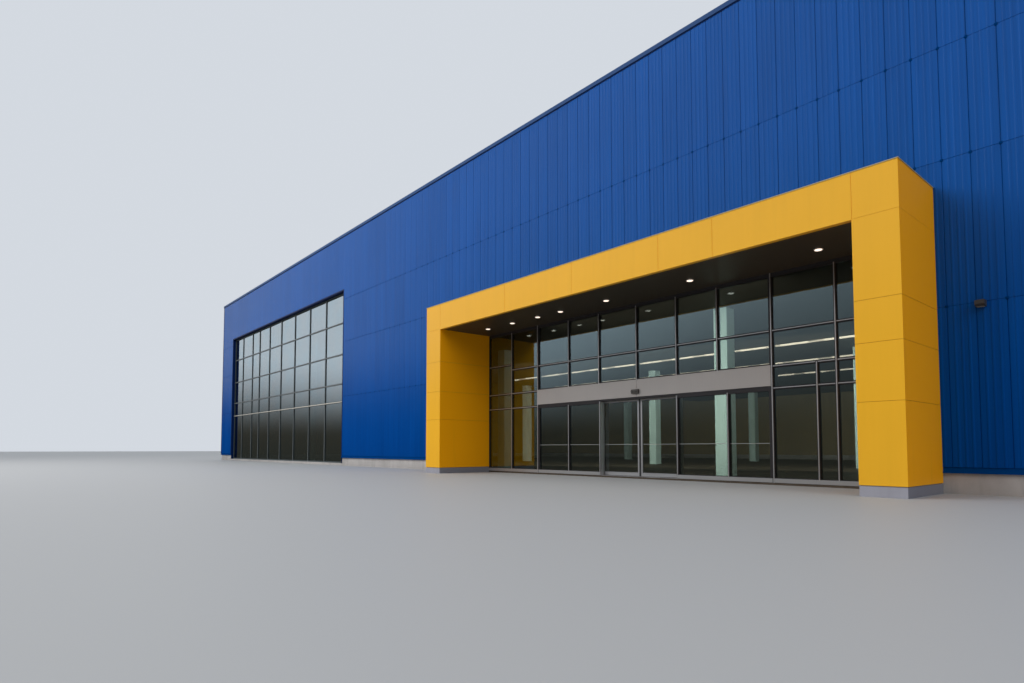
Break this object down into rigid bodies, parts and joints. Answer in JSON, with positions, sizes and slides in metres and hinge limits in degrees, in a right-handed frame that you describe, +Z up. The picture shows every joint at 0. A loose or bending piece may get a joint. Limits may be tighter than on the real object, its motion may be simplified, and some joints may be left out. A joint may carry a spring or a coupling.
{
  "type": "furniture store building, 1:2 scale model",
  "caption": "Big flat-roofed store with ribbed blue walls, a projecting yellow entrance portal, sliding glass doors, glazed front and a tall side window; 1:2 scale model.",
  "frame": {"origin": "on the ground, under the middle of the building's bounding box", "axes": "+X along the front towards the portal's end, +Y from the front to the back, +Z up"},
  "size_m": [31.03, 19.06, 6.375],
  "materials": {
    "blue_cladding": "ribbed coated steel panels, satin",
    "dark_blue_trim": "folded coated steel, satin",
    "yellow_panel": "flat coated aluminium panels, satin",
    "plinth_concrete": "weathered fair-faced concrete",
    "floor_concrete": "smooth sealed concrete",
    "grey_base": "blue-grey stone facing",
    "dark_soffit": "flat dark panels, satin",
    "lamp_warm": "warm white lit diffuser",
    "lamp_white": "white lit diffuser",
    "cap_metal": "folded coated aluminium",
    "silver_frame": "anodised, satin",
    "charcoal_frame": "coated dark grey, satin",
    "header_metal": "matt silver grey",
    "bare_aluminium": "mill finish",
    "zinc_steel": "zinc plated",
    "painted_steel": "grey primer",
    "clear_glass": "insulating glass, faint green",
    "window_glass": "insulating glass, grey green",
    "inside_plaster": "painted concrete",
    "roof_membrane": "grey roofing sheet",
    "black_plastic": "black moulded housing",
    "lamp_housing": "dark grey die-cast lamp"
  },
  "bodies": {
    "root": {"ground_floor": "floor_concrete", "front_plinth": "plinth_concrete", "side_plinths": "plinth_concrete", "back_plinth": "plinth_concrete", "front_wall_left": "blue_cladding", "front_wall_over_window": "blue_cladding", "front_wall_middle": "blue_cladding", "front_wall_over_entrance": "blue_cladding", "front_wall_right": "blue_cladding", "left_wall": "blue_cladding", "right_wall": "blue_cladding", "back_wall": "blue_cladding", "base_flashing": "dark_blue_trim", "front_coping": "dark_blue_trim", "back_coping": "dark_blue_trim", "side_copings": "dark_blue_trim", "roof_deck": "roof_membrane", "roof_girders": "painted_steel", "upper_floor_deck": "inside_plaster", "columns": "inside_plaster", "ceiling_light_strips": "lamp_white", "portal_left_pier": "yellow_panel", "portal_right_pier": "yellow_panel", "portal_lintel": "yellow_panel", "portal_bases": "grey_base", "portal_soffit": "dark_soffit", "soffit_downlights": "lamp_warm", "portal_cap": "cap_metal", "entrance_left_frame": "silver_frame", "entrance_right_frame": "silver_frame", "clerestory_frame": "silver_frame", "screen_frames": "silver_frame", "entrance_left_glass": "clear_glass", "entrance_right_glass": "clear_glass", "clerestory_glass": "clear_glass", "screen_glass": "clear_glass", "door_header": "header_metal", "door_track": "bare_aluminium", "door_threshold": "bare_aluminium", "door_sensor": "black_plastic", "window_frame": "charcoal_frame", "window_glass": "window_glass", "window_trim": "dark_blue_trim", "window_sill": "plinth_concrete", "wall_light": "lamp_housing"},
    "left_leaf": {"left_leaf_frame": "silver_frame", "left_leaf_glass": "clear_glass", "left_leaf_hangers": "zinc_steel"},
    "right_leaf": {"right_leaf_frame": "silver_frame", "right_leaf_glass": "clear_glass", "right_leaf_hangers": "zinc_steel"}
  },
  "joints": [
    {"name": "left_leaf_slide", "type": "slide", "parent": "root", "child": "left_leaf", "axis": [-1, 0, 0], "range_m": [0, 0.672]},
    {"name": "right_leaf_slide", "type": "slide", "parent": "root", "child": "right_leaf", "axis": [1, 0, 0], "range_m": [0, 0.672]}
  ],
  "couplings": [
    {"joint": "right_leaf_slide", "follows": "left_leaf_slide", "ratio": 1}
  ]
}
